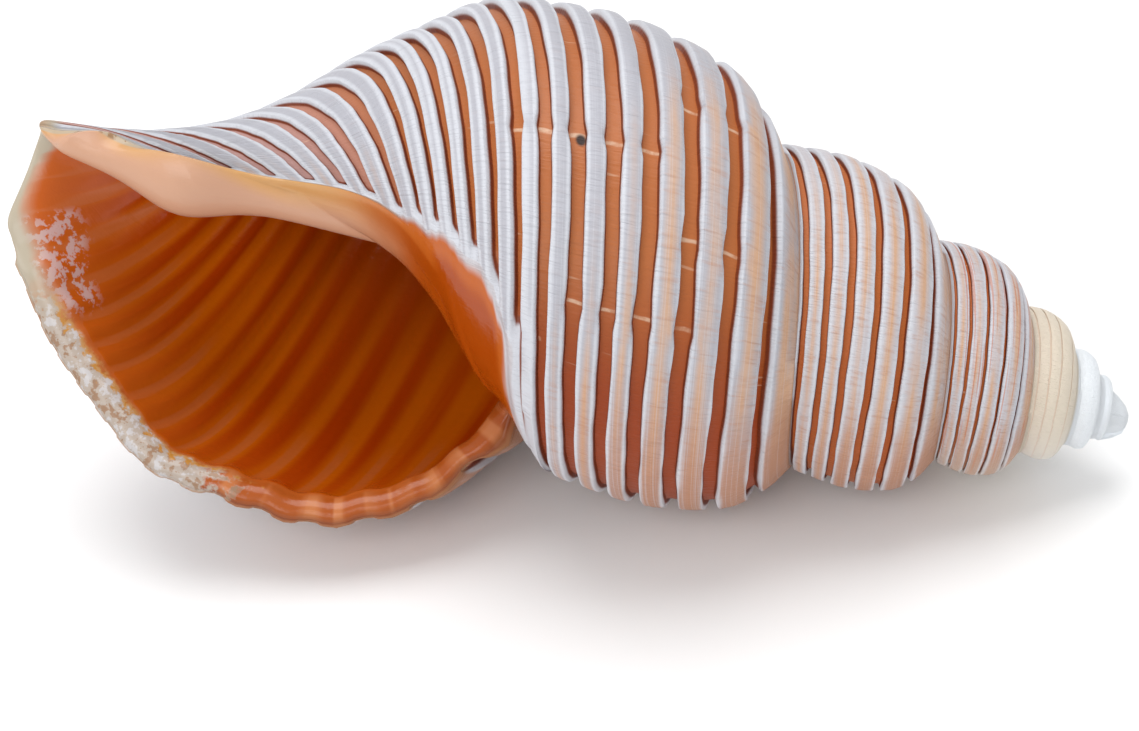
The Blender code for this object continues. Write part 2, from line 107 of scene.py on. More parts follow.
mouth = {
    "lipBack": 0.085,
    "lip": ((0.0, 0.085), (0.3, 0.087), (0.6, 0.088), (1.1, 0.091), (1.54, 0.12), (3.0, 0.2)),
    "lipFade": 0.35,
    "lipGroove": 0.1,  # share of the grooves' depth that is left at the lip
    "lipGrooveWhorls": 0.06,
    "lipWave": 0.18,  # the lip's edge waves a little with the ribs
    "lipBead": 0.55,  # a low bead runs round inside the lip
    "lipBeadWhorls": 0.013,
    "flare": ((0.0, 0.5), (0.05, 1.5), (0.1, 1.0), (0.16, 0.1), (0.3, 0.4), (0.9, 0.4),
              (1.25, 1.0), (1.6, 1.7), (1.9, 0.8), (2.2, 0.0)),
    "flareWhorls": 0.18,
    "flareInside": 0.45,
    "callus": ((1.385, 0.885), (1.57, 0.845), (1.8, 0.80), (2.1, 0.78), (2.45, 0.77)),
    "callusStart": 0.885,
    "border": ((1.09, 0.915), (1.15, 0.885), (1.27, 0.862), (1.57, 0.838), (2.0, 0.79), (2.5, 0.765)),
    "borderAcross": 1.085,
    "glazeEnd": 1.11,
    "grooveStop": (-0.5, -0.1),  # how near the glaze the grooves run out, 1 being 4 mm inside it
    "canalEnd": 94.9,
    "canalFloor": 93.4,  # where the rim meets the hollow along the canal's cut
    "neckEnd": 2.45,
    "rimDepth": 0.006,  # how far in the rim ends on the lip, in whorls
    "rimTurn": 0.04,  # and on the callus
    "lipRound": 0.8,  # how far the rim bulges on the lip, the canal's cut and the callus
    "cutRound": 0.6,
    "callusRound": 0.35,
    "rimWhorls": (0.014, 0.032),  # how far back the rim's colour reaches, away from the seam and beside it
    "cutRim": 3.0,  # how far up from the canal's cut the rim's colour reaches
    "wall": 1.7,
    "lipWall": 2.1,
    "lipWallWhorls": 0.3,
    "pillar": 2.1,
    "pillarTip": 1.3,
    "pillarTaper": 84.0,
    "glazeSink": 0.5,
    "swell": 1.8,  # the pillar is stouter a little above the canal's end
    "swellDepth": 81.0,
    "swellWidth": 4.5,
    "hollowWhorls": 1.7,
    "flatFrom": 0.6,  # from here in, the hollow's rings follow its section evenly
    "innerRelief": 0.16,
}

fineness = {
    "perWhorl": 105,  # steps in a whorl
    "rimRings": 6,
    "mouthRings": 38,
    "deepRings": 20,
    "mouthSpacing": 1.25,  # above 1, the rings lie closer together near the rim
    "sectionPoints": 1600,
    "sectionStops": 240,
    "sharpAngle": 62.0,
}


def smoothCurve(knots, values, x):
    knots = np.asarray(knots, float)
    values = np.asarray(values, float)
    slopes = np.gradient(values, knots)
    i = np.clip(np.searchsorted(knots, x) - 1, 0, len(knots) - 2)
    step = knots[i + 1] - knots[i]
    s = np.clip((x - knots[i]) / step, 0.0, 1.0)
    start = (1 + 2 * s) * (1 - s) ** 2 * values[i] + s * (1 - s) ** 2 * step * slopes[i]
    end = s * s * (3 - 2 * s) * values[i + 1] - s * s * (1 - s) * step * slopes[i + 1]
    return start + end


def easeStep(x, low, high):
    s = np.clip((x - low) / (high - low), 0.0, 1.0)
    return s * s * (3 - 2 * s)


def outlineKnots():
    fall = growth["depthShrink"] - growth["depthShrinkGain"]
    nextSeam = (growth["seamDepth"] * math.exp(fall),
                growth["seamRadius"] * math.exp(growth["radiusShrink"]))
    first = (growth["seamDepth"], growth["seamRadius"])
    points = np.array((first,) + growth["toNextSeam"] + (nextSeam,) + growth["pastSeam"])
    run = np.concatenate(([0.0], np.cumsum(np.hypot(*np.diff(points, axis=0).T))))
    return run / run[len(growth["toNextSeam"]) + 1], points[:, 0], points[:, 1]


knotPlaces, knotDepths, knotRadii = outlineKnots()


def shrinkAt(u, t):
    radius = np.exp(-growth["radiusShrink"] * u)
    gain = growth["depthShrinkGain"] * u * (u - 2 * np.minimum(t, 1.0))
    return radius, np.exp(-growth["depthShrink"] * u - gain)


def regularPoint(u, t):
    radiusScale, depthScale = shrinkAt(u, t)
    near = np.exp(-((u - seam["baseSinkAt"]) / seam["baseSinkWhorls"]) ** 2)
    sink = seam["baseSink"] * near * easeStep(t, seam["baseSinkFrom"], seam["baseSinkFull"])
    return np.stack((smoothCurve(knotPlaces, knotRadii, t) * radiusScale - sink,
                     smoothCurve(knotPlaces, knotDepths, t) * depthScale))


def dropPlace(u):
    return smoothCurve(*zip(*seam["drop"]), u)


def shapedPoint(u, t):
    point = regularPoint(u, t)
    shift = regularPoint(1 + u, dropPlace(u)) - regularPoint(u, 0 * t)
    fade = np.clip(1 - t / seam["blend"], 0.0, 1.0) ** 1.5
    narrow = np.maximum(1 - u / seam["shoulderWhorls"], 0.0) * seam["shoulderSink"]
    bump = np.sin(math.pi * np.clip(t / seam["blend"], 0.0, 1.0)) ** 2
    newest = np.where(u < 1.0, 1.0, 0.0)
    return point + newest * np.stack((shift[0] * fade - narrow * bump, shift[1] * fade))


def outlinePoint(u, t, inward):
    ahead = 0.004
    radius, depth = shapedPoint(u, t)
    radiusRun, depthRun = shapedPoint(u, t + ahead) - np.stack((radius, depth))
    run = np.hypot(radiusRun, depthRun) + 1e-9
    return radius - inward * depthRun / run, depth + inward * radiusRun / run


def turned(radius, depth, u):
    angle = -2 * math.pi * u
    lean = np.maximum(1 - depth / growth["leanUpTo"], 0.0) ** 2
    return np.stack((radius * np.cos(angle) + growth["lean"][0] * lean,
                     radius * np.sin(angle) + growth["lean"][1] * lean, depth), axis=-1)


def lipAt(t):
    lip = smoothCurve(*zip(*mouth["lip"]), t)
    over = np.maximum(np.log(smoothCurve(knotPlaces, knotDepths, t) / mouth["canalEnd"]), 0.0)
    gain = growth["depthShrinkGain"]
    fall = growth["depthShrink"] - 2 * gain
    return np.maximum(lip, (np.sqrt(fall ** 2 + 4 * gain * over) - fall) / (2 * gain))


def callusAt(t):
    return smoothCurve(*zip(*mouth["callus"]), t)


# Rows of points over a whorl: each groove has its profile, and each rib a row along its middle
def rowTable():
    table = [(-1, 0.0, 0.0)]  # groove number or -1, place or share of the groove's half width, sunk
    grooves = ribs["grooves"]
    for k, place in enumerate(grooves):
        before = grooves[k - 1] if k else 0.0
        seamHere = before < 1.0 < place
        table.append((-1, 1.0, 0.0) if seamHere else (-1, (before + place) / 2, ribs["crown"]))
        table += [(k, share, sunk) for share, sunk in ribs["profile"]]
    return table + [(-1, mouth["neckEnd"], 0.0)]


rowList = rowTable()
rowGroove = np.array([row[0] for row in rowList])
rowShare = np.array([row[1] for row in rowList])
rowSunk = np.array([row[2] for row in rowList])
groovePlaces = np.array(ribs["grooves"])
groovePitch = np.minimum(np.diff(np.concatenate(([0.0], groovePlaces))), ribs["widestPitch"])
seamRow = next(k for k, row in enumerate(rowList) if row[0] < 0 and row[1] == 1.0)
perWhorl = fineness["perWhorl"]
callusStep = round((mouth["callusStart"] - mouth["lipBack"]) * perWhorl)


def waver(u, groove, seed):  # slow unevenness of each groove along the spiral
    phase = groove * 2.4 + seed
    slow = np.sin(u * 31 + phase)
    middling = np.sin(u * 73 + phase * 1.7)
    quick = np.sin(u * 149 + phase * 2.3)
    return (slow + middling + 0.6 * quick) / 2.6


def shifted(place, u):
    low, high = ribs["shift"]
    fade = np.clip((ribs["shiftEnd"] - place) / ribs["shiftFade"], 0.0, 1.0)
    return place * (1 + (low - high * place) * fade * np.maximum(u - ribs["shiftFrom"], 0.0))


def stepBack(step):
    return mouth["lipBack"] + step / perWhorl


def stopNotch(u, places):  # 1 where growth stopped, which left a notch in the ribs' edges
    notch = 0 * places
    for back, first, last in growthStops:
        near = math.exp(-((u - back) / ribs["notchWhorls"]) ** 2)
        notch = notch + near * (first < places) * (places < last)
    return notch


def rowPlaces(u):
    groove = np.maximum(rowGroove, 0)
    middle = groovePlaces[groove]
    pitch = groovePitch[groove]
    width = ribs["width"] - ribs["widthPerWhorl"] * (u - ribs["widthAt"])
    width = np.clip(width, *ribs["widthLimits"]) * np.interp(middle, *zip(*ribs["widthAcross"]))
    uneven = 1 + ribs["waver"] * waver(u, groove, 0.0) + ribs["notch"] * stopNotch(u, middle)
    half = 0.5 * width * pitch * uneven
    centre = middle + ribs["drift"] * pitch * waver(u, groove, 5.0)
    places = shifted(np.where(rowGroove < 0, rowShare, centre + rowShare * half), u)
    places[seamRow] = 1.0
    return places


def whorlsBack(step, t):
    u = stepBack(step)
    if step > callusStep:
        return 0 * t + u
    lip = lipAt(t)
    fade = max(1.0 - (u - mouth["lipBack"]) / mouth["lipFade"], 0.0) ** 2
    straight = u + (lip - mouth["lipBack"]) * fade
    warped = lip + (callusAt(t) - lip) * step / callusStep
    return straight + (warped - straight) * easeStep(t, 1.0, 1.6)


def ribbedShare(u):
    return np.clip((ribs["smoothFrom"] - u) / ribs["smoothOver"], 0.0, 1.0) ** 1.5


def grooveDepth(u, t):
    neck = np.clip((t - 1.2) / 0.9, 0.0, 1.0)
    back = np.clip((u - lipAt(t)) / mouth["lipGrooveWhorls"], 0.0, 1.0)
    lip = mouth["lipGroove"] + (1 - mouth["lipGroove"]) * back
    depth = ribs["depth"] + (ribs["neckDepth"] - ribs["depth"]) * neck
    return depth * ribbedShare(u) * lip * np.exp(-growth["radiusShrink"] * u)


def ribWave(t):  # 1 along the grooves and -1 along the middles of the ribs
    nearest = np.abs(np.asarray(t)[..., None] - groovePlaces).argmin(axis=-1)
    offset = np.abs(t - groovePlaces[nearest]) / groovePitch[nearest]
    return np.cos(2 * math.pi * np.clip(offset, 0, 0.5))


def flareAt(u, t):
    back = np.maximum(u - lipAt(t), 0.0)
    wave = mouth["lipWave"] * ribWave(t) * easeStep(-np.asarray(t), -1.1, -0.8)
    spread = np.maximum(1.0 - back / mouth["flareWhorls"], 0.0) ** 1.5
    edge = np.maximum(1.0 - back / mouth["lipGrooveWhorls"], 0.0)
    return smoothCurve(*zip(*mouth["flare"]), t) * spread - wave * edge


def outerPoints(u, t, sunk):
    inset = ribs["smoothInset"] * (1 - ribbedShare(u))
    radius, depth = outlinePoint(u, t, sunk * grooveDepth(u, t) + inset - flareAt(u, t))
    return turned(radius, depth, u)


def topPlace(step):  # where the chain of rows ends, past the callus and along the newest seam
    if step <= callusStep:
        return mouth["neckEnd"]
    if step < perWhorl:
        start, end = mouth["callus"][0][0], seam["drop"][0][1]
        return start + (end - start) * (step - callusStep) / (perWhorl - callusStep)
    return float(dropPlace(stepBack(step) - 1))


def chainFacts(step, count, cut):  # points and marks of one chain of the outer surface
    places = rowPlaces(stepBack(step))[:count]
    sunk = rowSunk[:count].copy()
    if cut:
        places[-1] = topPlace(step)
        sunk[-1] = 0.0
    u = whorlsBack(step, places)
    if step <= callusStep:  # the grooves run out against the callus, the seam and the glaze
        beside = easeStep(callusAt(places) - u, 0.004, 0.02)
        sunk = sunk * np.where(places > mouth["callus"][0][0], beside, 1.0)
    elif step < perWhorl:
        sunk = sunk * easeStep(topPlace(step) - places, 0.01, 0.05)
    glaze = glazeAt(u, places)
    sunk = sunk * (1 - easeStep(glaze, *mouth["grooveStop"]))
    points = outerPoints(u, places, sunk)
    crest = crestAt(places, u)
    narrow, wide = mouth["rimWhorls"]  # the rim's colour reaches furthest back near the seam
    rimWhorls = narrow + (wide - narrow) * easeStep(-places, -0.5, -0.2)
    nearLip = np.clip(1 - (u - lipAt(places)) / rimWhorls, 0.0, 1.0)
    nearCut = np.clip(1 - (mouth["canalEnd"] - points[:, 2]) / mouth["cutRim"], 0.0, 1.0)
    nearLip = np.maximum(nearLip, nearCut * easeStep(places, 1.6, 1.8)) * (glaze < 0)
    spiral = np.stack((u, places, sunk), axis=-1)
    zone = np.stack((glaze, 0 * u, nearLip), axis=-1)
    detail = np.stack((crest, 0 * u, glaze > 0), axis=-1)
    return points, spiral, zone, detail


def crestAt(places, u):  # 1 along the middle of each rib and 0 in the grooves
    grooves = shifted(groovePlaces[None, :], np.mean(u))
    nearest = np.abs(places[:, None] - grooves).min(axis=1)
    return easeStep(nearest / ribs["crestReach"], 0.4, 1.0)


def glazeAt(u, t):  # how far inside the glaze beside the mouth, 1 at 4 mm
    border = smoothCurve(*zip(*mouth["border"]), t) + 0.003 * np.sin(t * 40)
    across = mouth["borderAcross"] + 0.005 * np.sin(u * 60)
    fromBorder = (u - border) * 110  # millimetres in from each side of the glaze
    fromAcross = (t - across) * 42
    fromEnd = (mouth["glazeEnd"] - u) * 160
    return np.clip(np.minimum(np.minimum(fromBorder, fromAcross), fromEnd) / 4, -0.6, 1.0)


def wallAt(d):
    atLip = np.maximum(1 - np.maximum(d, 0) / mouth["lipWallWhorls"], 0)
    return mouth["wall"] + (mouth["lipWall"] - mouth["wall"]) * atLip


def pillarRadius(u, depth):
    scale, depthScale = shrinkAt(u, 1.0)
    t = np.interp(depth / depthScale, knotDepths, knotPlaces)
    tip = np.clip((depth - mouth["pillarTaper"]) / (mouth["canalEnd"] - mouth["pillarTaper"]), 0, 1)
    pillar = mouth["pillar"] + (mouth["pillarTip"] - mouth["pillar"]) * tip
    swell = mouth["swell"] * np.exp(-((depth - mouth["swellDepth"]) / mouth["swellWidth"]) ** 2)
    return np.maximum(smoothCurve(knotPlaces, knotRadii, t) * scale - mouth["glazeSink"], pillar + swell)


def sectionTable():  # limits of the hollow's section at many places along the spiral
    rows = []
    t = np.linspace(0.0, knotPlaces[-1] - 0.02, fineness["sectionPoints"])
    stops = np.linspace(-0.24, mouth["hollowWhorls"] + 0.01, fineness["sectionStops"])
    for d in stops:
        u = 0 * t + d
        radius, depth = outlinePoint(u, t, wallAt(d) - mouth["flareInside"] * flareAt(u, t))
        clear = radius - pillarRadius(1 + d, depth)
        first = int(np.argmax(clear > 0))
        last = first + int(np.argmin(clear[first:] > 0))
        limits = []
        for k in (max(first, 1), max(last, 1)):
            crossed = clear[k - 1] * clear[k] < 0
            share = clear[k - 1] / (clear[k - 1] - clear[k]) if crossed else 0.0
            for line in (t, depth):
                limits.append(line[k - 1] + share * (line[k] - line[k - 1]))
        rows.append(limits)
    return stops, np.array(rows)


sectionStops, sectionRows = sectionTable()


def sectionAt(d):
    return [np.interp(d, sectionStops, sectionRows[:, k]) for k in range(4)]


# The hollow's surface: q runs from -1 to 0 over the wall, and from 0 to 1 over the pillar
def hollowPoints(d, q):
    firstT, firstDepth, lastT, lastDepth = sectionAt(d)
    t = firstT + (np.minimum(q, 0.0) + 1) * (lastT - firstT)
    ridge = ribWave(t)
    fade = easeStep(-q, 0.02, 0.15) * easeStep(q + 1, 0.02, 0.12)
    inward = wallAt(d) - mouth["flareInside"] * flareAt(d, t) + mouth["innerRelief"] * ridge * fade
    past = (d - lipAt(t)) / mouth["lipBeadWhorls"]
    inward = inward + mouth["lipBead"] * np.exp(-past ** 2) * easeStep(-t, -1.2, -0.8) * fade
    wallRadius, wallDepth = outlinePoint(d, t, inward)
    pillarDepth = lastDepth + np.maximum(q, 0.0) * (firstDepth - lastDepth)
    onWall = q <= 0.0
    radius = np.where(onWall, wallRadius, pillarRadius(1 + d, pillarDepth))
    depth = np.where(onWall, wallDepth, pillarDepth)
    return turned(radius, depth, d), t, ridge * np.where(onWall, fade, 0.0)


# Every point is marked for the colours. Spiral: whorls back, place across, share of the groove's
# depth. Zone: depth inside the glaze, centimetres in from the mouth's edge, nearness to the lip.
# Detail: crest of a rib, ridge inside the mouth, side of the pillar.
def newLayers(bm):
    return [bm.verts.layers.float_vector.new(name) for name in ("spiral", "zone", "detail")]


def markVertex(vertex, layers, marks, k):
    for layer, mark in zip(layers, marks):
        vertex[layer] = mark[k]


def extrudeChain(bm, chain, points, layers, marks, closed=False):
    ends = chain[1:] + chain[:1] if closed else chain[1:]
    edges = [bm.edges.get((a, b)) for a, b in zip(chain, ends)]
    made = bmesh.ops.extrude_edge_only(bm, edges=edges)["geom"]
    fresh = {item for item in made if isinstance(item, bmesh.types.BMVert)}
    newChain = []
    for k, vertex in enumerate(chain):
        new = next(e.other_vert(vertex) for e in vertex.link_edges if e.other_vert(vertex) in fresh)
        new.co = points[k]
        markVertex(new, layers, marks, k)
        newChain.append(new)
    return newChain


def windOuterSurface(bm, layers):
    count = len(rowList)
    points, *marks = chainFacts(0, count, False)
    chain = [bm.verts.new(point) for point in points]
    for k, vertex in enumerate(chain):
        markVertex(vertex, layers, marks, k)
    for a, b in zip(chain, chain[1:]):
        bm.edges.new((a, b))
    loop = list(chain)
    upper = [chain[0]]
    welds = {}
    lastStep = int(growth["whorls"] * perWhorl)
    cut = False
    for step in range(1, lastStep + 1):
        points, *marks = chainFacts(step, len(chain), cut)
        chain = extrudeChain(bm, chain, points, layers, marks)
        while cut and rowPlaces(stepBack(step))[len(chain) - 2] > topPlace(step) - 0.004:
            bmesh.ops.pointmerge(bm, verts=chain[-2:], merge_co=chain[-1].co)
            chain = [vertex for vertex in chain if vertex.is_valid]
        upper.append(chain[0])
        if step < perWhorl:
            loop.append(chain[-1])
        else:
            welds[chain[-1]] = upper[step - perWhorl]
        if step == callusStep:
            keep = int(np.argmax(rowPlaces(stepBack(step)) >= mouth["callus"][0][0]))
            loop += chain[-2:keep - 1:-1]
            chain = chain[:keep + 1]
            cut = True
    hole = upper[lastStep - perWhorl:] + chain[1:-1]
    bmesh.ops.weld_verts(bm, targetmap=welds)
    closeTip(bm, [vertex for vertex in hole if vertex.is_valid], layers)
    return loop


def closeTip(bm, ring, layers):
    centre = Vector(turned(np.array(0.0), np.array(growth["tipDepth"]), np.array(0.0)))
    start = [vertex.co.copy() for vertex in ring]
    marks = [[tuple(vertex[layer]) for vertex in ring] for layer in layers]
    for share, rise in growth["tipRings"]:
        points = []
        for co in start:
            point = co.lerp(centre, share)
            point.z = co.z + (centre.z - co.z) * rise
            points.append(point)
        ring = extrudeChain(bm, ring, points, layers, marks, closed=True)
    cap = bmesh.ops.contextual_create(bm, geom=ring)["faces"]
    poked = bmesh.ops.poke(bm, faces=cap)
    poked["verts"][0].co = centre
    markVertex(poked["verts"][0], layers, marks, 0)


def mouthEdgePlaces(loop, layers):  # where each point of the mouth's edge enters the hollow
    u = np.array([vertex[layers[0]][0] for vertex in loop])
    t = np.array([vertex[layers[0]][1] for vertex in loop])
    depth = np.array([vertex.co.z for vertex in loop])
    count = len(rowList)
    crease = next(k for k in range(count) if t[k] >= sectionAt(u[k])[2] - 0.02)
    places = []
    for k in range(crease):
        firstT, _, lastT, _ = sectionAt(u[k])
        q = (t[k] - firstT) / (lastT - firstT) - 1
        places.append((u[k] + mouth["rimDepth"], min(max(q, -1.0), 0.0)))
    arcEnd = count + callusStep - 1
    creaseD = u[crease]
    callusD = u[arcEnd] - 1 + mouth["rimTurn"]
    floor = mouth["canalFloor"]
    for k in range(crease, len(loop)):
        if k < arcEnd:  # along the canal's cut, and then up to the callus
            share = (k - crease) / (arcEnd - crease)
            d = creaseD + share * (callusD - creaseD)
            z = floor + max(share - 0.75, 0.0) / 0.25 * (depth[arcEnd] - floor)
        else:
            d = u[k] - 1 + mouth["rimTurn"]
            z = depth[k]
        _, firstDepth, _, lastDepth = sectionAt(d)
        places.append((d, min((lastDepth - z) / (lastDepth - firstDepth), 1.0)))
    return np.array(places)


def rimShape(outer, inner, edge):  # which way and how far the rounded rim stands out
    d, q = edge.T
    half = np.linalg.norm(inner - outer, axis=1) / 2
    angle = -2 * math.pi * d
    ahead = np.stack((-np.sin(angle), np.cos(angle), 0 * d), axis=-1)
    radial = outer * (1.0, 1.0, 0.0)
    radial /= np.linalg.norm(radial, axis=1)[:, None]
    down = np.array((0.0, 0.0, 1.0)) + 0 * ahead
    callus = easeStep(q, 0.3, 0.55)
    canal = easeStep(outer[:, 2], mouth["canalEnd"] - 2.2, mouth["canalEnd"] - 0.4) * (1 - callus)
    lip = (1 - callus) * (1 - canal)
    bulge = ahead * (half * mouth["lipRound"] * lip)[:, None]
    bulge += down * (np.minimum(half, 0.9) * mouth["cutRound"] * canal)[:, None]
    bulge += radial * (mouth["callusRound"] * callus)[:, None]
    return bulge, callus


def roundRim(bm, loop, layers, edge):  # rings from the mouth's edge over the rim to the hollow
    outer = np.array([vertex.co for vertex in loop])
    spiral, zone, _ = [np.array([vertex[layer] for vertex in loop]) for layer in layers]
    spiral[:, 2] = 0.0
    inner = hollowPoints(edge[:, 0], edge[:, 1])[0]
    bulge, callus = rimShape(outer, inner, edge)
    onPillar = easeStep(edge[:, 1], 0.02, 0.12)
    ring = loop
    before = outer
    reach = np.zeros(len(loop))
    for k in range(1, fineness["rimRings"] + 1):
        s = k / fineness["rimRings"]
        arc = (1 - math.cos(math.pi * s)) / 2
        share = arc + (s - arc) * callus
        points = outer + share[:, None] * (inner - outer) + math.sin(math.pi * s) * bulge
        reach = reach + np.linalg.norm(points - before, axis=1) / 10
        before = points
        glaze = np.maximum(zone[:, 0], min(s * 2, 1.0))
        rimZone = np.stack((glaze, reach, max(1 - 1.5 * s, 0) + 0 * reach), axis=-1)
        detail = np.stack((0 * reach, 0 * reach, onPillar), axis=-1)
        ring = extrudeChain(bm, ring, points, layers, (spiral, rimZone, detail), closed=True)
    return ring, before, reach


def lineHollow(bm, loop, layers):
    edge = mouthEdgePlaces(loop, layers)
    ring, before, reach = roundRim(bm, loop, layers, edge)
    endQ = np.linspace(-1.0, 1.0, len(loop) + 1)[:-1]
    total = fineness["mouthRings"] + fineness["deepRings"]
    for k in range(1, total + 1):
        if k <= fineness["mouthRings"]:
            share = (k / fineness["mouthRings"]) ** fineness["mouthSpacing"]
            d = edge[:, 0] + share * (mouth["flatFrom"] - edge[:, 0])
            q = edge[:, 1] + share * (endQ - edge[:, 1])
        else:
            share = (k - fineness["mouthRings"]) / fineness["deepRings"]
            d = 0 * endQ + mouth["flatFrom"] + (mouth["hollowWhorls"] - mouth["flatFrom"]) * share
            q = endQ
        points, t, ridge = hollowPoints(d, q)
        reach = reach + np.linalg.norm(points - before, axis=1) / 10
        before = points
        spiral = np.stack((d + (q > 0), t, 0 * d), axis=-1)
        zone = np.stack((0 * d + 1, reach, 0 * d), axis=-1)
        detail = np.stack((0 * d, ridge * 0.5 + 0.5, easeStep(q, 0.0, 0.1)), axis=-1)
        ring = extrudeChain(bm, ring, points, layers, (spiral, zone, detail), closed=True)
    end = bmesh.ops.contextual_create(bm, geom=ring)["faces"]
    bmesh.ops.poke(bm, faces=end)


resting = {"roll": 106.8, "pitch": 16.5, "tipPlace": (46.71297965, -1.93366142, 6.79011535)}


def layOnGround(mesh):
    along = Matrix.Rotation(math.radians(-90.0), 4, "Y")
    roll = Matrix.Rotation(math.radians(resting["roll"]), 4, "X")
    pitch = Matrix.Rotation(math.radians(resting["pitch"]), 4, "Y")
    place = Matrix.Translation(Vector(resting["tipPlace"]) * mm)
    mesh.transform(place @ pitch @ roll @ along @ Matrix.Scale(mm, 4))


def soften(bm, verts, rounds):  # evens out what is sharp
    for _ in range(rounds):
        bmesh.ops.smooth_vert(bm, verts=verts, factor=0.5,
                              use_axis_x=True, use_axis_y=True, use_axis_z=True)


def softenAround(bm, centre, radius, rounds):
    soften(bm, [vertex for vertex in bm.verts if (vertex.co - centre).length < radius], rounds)


softening = {  # rounds of smoothing, after the reach in millimetres where there is one
    "rimReach": 0.45,  # centimetres in from the mouth's edge
    "rim": 6,
    "glazeBand": (-0.45, 0.9),  # share of the way into the glaze
    "glazeEdge": 5,
    "canalEnd": (1.2, 6),
    "canalCorner": ((3.5, 24), (5.0, 22), (6.5, 18), (8.0, 12), (9.5, 8), (11.0, 5), (12.5, 3)),
    "tip": (2.2, 6),
}


def softenWear(bm, layers, corner):
    rim, glazeEdge = [], []
    low, high = softening["glazeBand"]
    for vertex in bm.verts:
        glaze, reach, _ = vertex[layers[1]]
        if 0 < reach < softening["rimReach"] and vertex[layers[2]][2] < 0.5:
            rim.append(vertex)
        if low < glaze < high and reach == 0:
            glazeEdge.append(vertex)
    soften(bm, rim, softening["rim"])
    soften(bm, glazeEdge, softening["glazeEdge"])
    above, rounds = softening["canalEnd"]
    soften(bm, [vertex for vertex in bm.verts if vertex.co.z > mouth["canalEnd"] - above], rounds)
    for radius, rounds in softening["canalCorner"]:
        softenAround(bm, corner, radius, rounds)
    softenAround(bm, Vector((0.0, 0.0, growth["tipDepth"])), *softening["tip"])


def makeShell():
    bm = bmesh.new()
    layers = newLayers(bm)
    loop = windOuterSurface(bm, layers)
    print("outer surface wound,", len(bm.verts), "points")
    corner = loop[len(rowList) - 1].co.copy()
    lineHollow(bm, loop, layers)
    softenWear(bm, layers, corner)
    bmesh.ops.recalc_face_normals(bm, faces=bm.faces[:])
    openEdges = sum(1 for edge in bm.edges if not edge.is_manifold)
    print("hollow lined and rim softened,", len(bm.faces), "faces,", openEdges, "open edges")
    mesh = bpy.data.meshes.new("shellSkin")
    bm.to_mesh(mesh)
    bm.free()
    layOnGround(mesh)
    mesh.shade_smooth()
    mesh.set_sharp_from_angle(angle=math.radians(fineness["sharpAngle"]))
    shell = bpy.data.objects.new("shellSkin", mesh)
    bpy.context.scene.collection.objects.link(shell)
    return shell


# Colours of the shell, as seen on a screen
shellLooks = {
    "ribWhite": (176, 176, 184),  # red, green and blue, 0 to 255
    "ribSpire": (194, 190, 195),
    "ribPeach": (206, 165, 134),
    # growth lines on the ribs, and painted shade on their underside
    "ribPink": (178, 126, 98),
    # pale threads, chalk specks and worn patches, and the painted highlight along the rib edges
    "ribEdge": (207, 209, 216),
    "groove": (186, 108, 57),
    # painted shade for the grooves on the underside
    "grooveUnderShade": (160, 62, 0),
    # painted shade on the groove walls
    "grooveWallShade": (134, 66, 40),
    "grooveNeck": (190, 158, 158),
    "grooveSpire": (196, 100, 34),
    "crossMark": (224, 186, 156),
    "pit": (38, 14, 6),
    "cream": (224, 212, 194),
    "apex": (240, 245, 250),
    "border": (196, 192, 196),
    "callus": (206, 156, 100),
    "callusPale": (204, 158, 130),
    "callusDeep": (184, 92, 30),
    "canalCream": (178, 167, 148),
    "lipOrange": (166, 82, 30),
    "lipStreak": (190, 116, 68),
    # painted shade on the lip bead's outer edge
    "lipEdgeShade": (124, 62, 26),
    "lipChalk": (176, 162, 150),
    "lipSpeck": (140, 92, 44),
    "lipTan": (176, 128, 88),
    "lipYellow": (196, 134, 30),
    "insideAmber": (208, 102, 4),
    "insideRed": (182, 64, 2),
    "insideTan": (190, 90, 22),
    # painted highlight on the ridges inside
    "insideRidgeHighlight": (194, 112, 68),
    # painted shade deep inside the mouth and where the glaze turns in
    "insideDeepShade": (158, 62, 2),
    "ribRoughness": 0.42,
    "glazeRoughness": 0.16,
    "specular": 0.32,
    "reliefStrength": 0.6,
    "reliefDistance": 0.35 * mm,
}

growthPit = {"place": (0.7641, 0.845), "size": 0.0056}


def screenColour(name):
    values = [value / 255 for value in shellLooks[name]]
    return [v / 12.92 if v < 0.04045 else ((v + 0.055) / 1.055) ** 2.4 for v in values] + [1.0]


